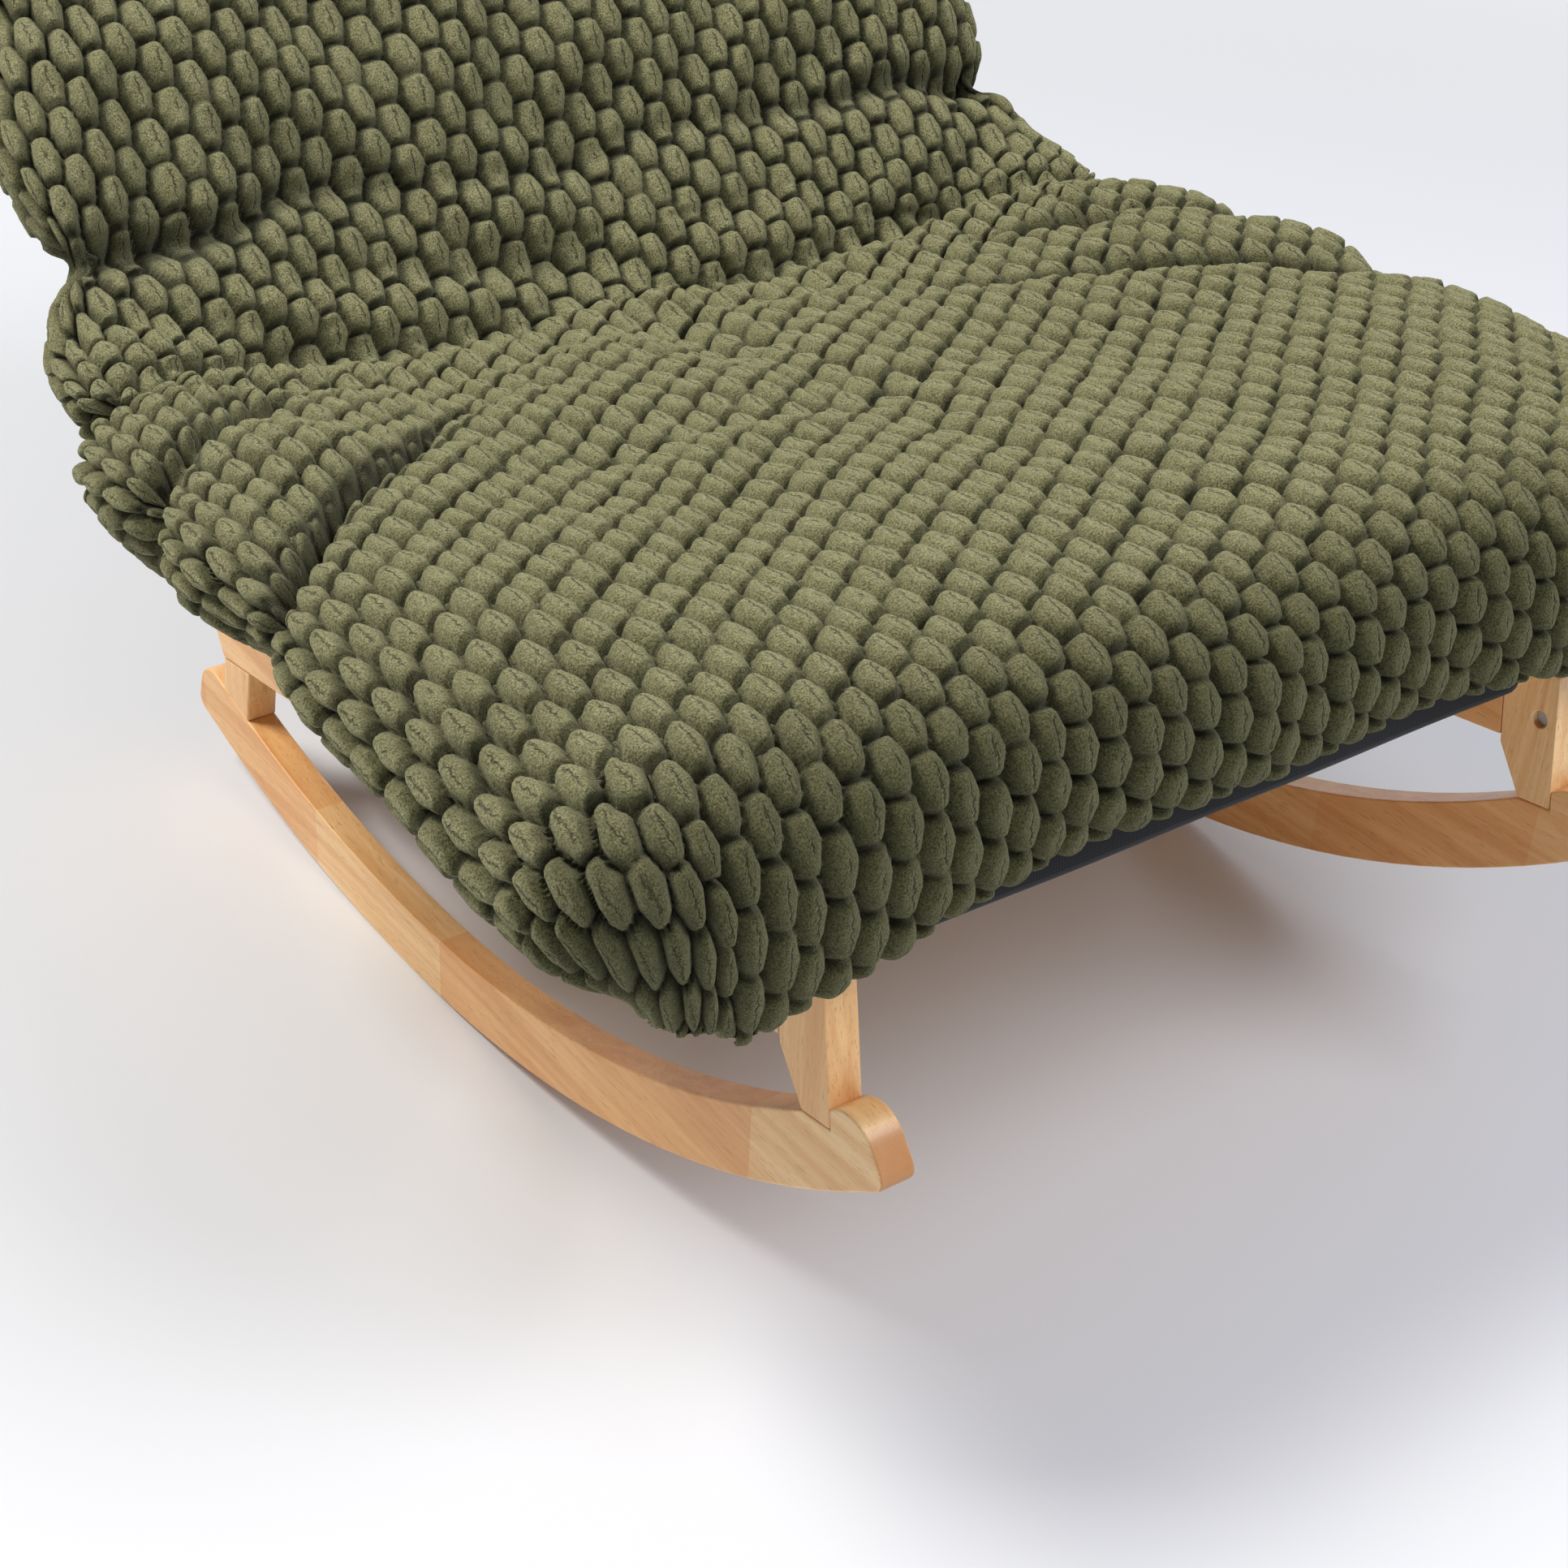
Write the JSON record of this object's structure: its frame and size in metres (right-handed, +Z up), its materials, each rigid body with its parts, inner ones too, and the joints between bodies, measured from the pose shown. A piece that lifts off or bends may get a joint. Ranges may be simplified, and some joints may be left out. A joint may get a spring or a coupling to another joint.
{
  "type": "bean bag rocking chair",
  "caption": "Low rocking chair with a wooden rocker base, curved runners and a deep green puffed plush bean bag cushion over seat and back.",
  "frame": {"origin": "the floor point under the middle of the chair where both rockers touch", "axes": "+X to the right seen from the front, +Y rearward, +Z up; the front faces -Y"},
  "size_m": [0.9, 1.0564, 0.7517],
  "materials": {
    "wood": "satin",
    "plywood": "matte",
    "steel": "satin",
    "brass": "satin",
    "black_cloth": "matte",
    "plush": "matte"
  },
  "bodies": {
    "root": {"left_rocker": "wood", "right_rocker": "wood", "front_left_leg": "wood", "front_right_leg": "wood", "rear_left_leg": "wood", "rear_right_leg": "wood", "left_side_rail": "wood", "right_side_rail": "wood", "front_cross_rail": "wood", "middle_cross_rail": "wood", "rear_cross_rail": "wood", "leg_bolts": "steel", "leg_barrel_nuts": "steel", "rail_dowels": "wood", "rear_leg_dowels": "wood", "cross_rail_dowels": "wood", "seat_deck": "plywood", "deck_screws": "steel", "left_back_upright": "wood", "right_back_upright": "wood", "back_bolts": "steel", "back_insert_nuts": "brass", "lower_back_rail": "wood", "middle_back_rail": "wood", "upper_back_rail": "wood", "back_rail_dowels": "wood", "back_panel": "plywood", "panel_screws": "steel", "base_cloth": "black_cloth", "front_flap": "black_cloth", "back_cloth": "black_cloth", "seat_cushion": "plush", "lumbar_cushion": "plush", "back_cushion": "plush", "head_cushion": "plush"}
  },
  "joints": []
}
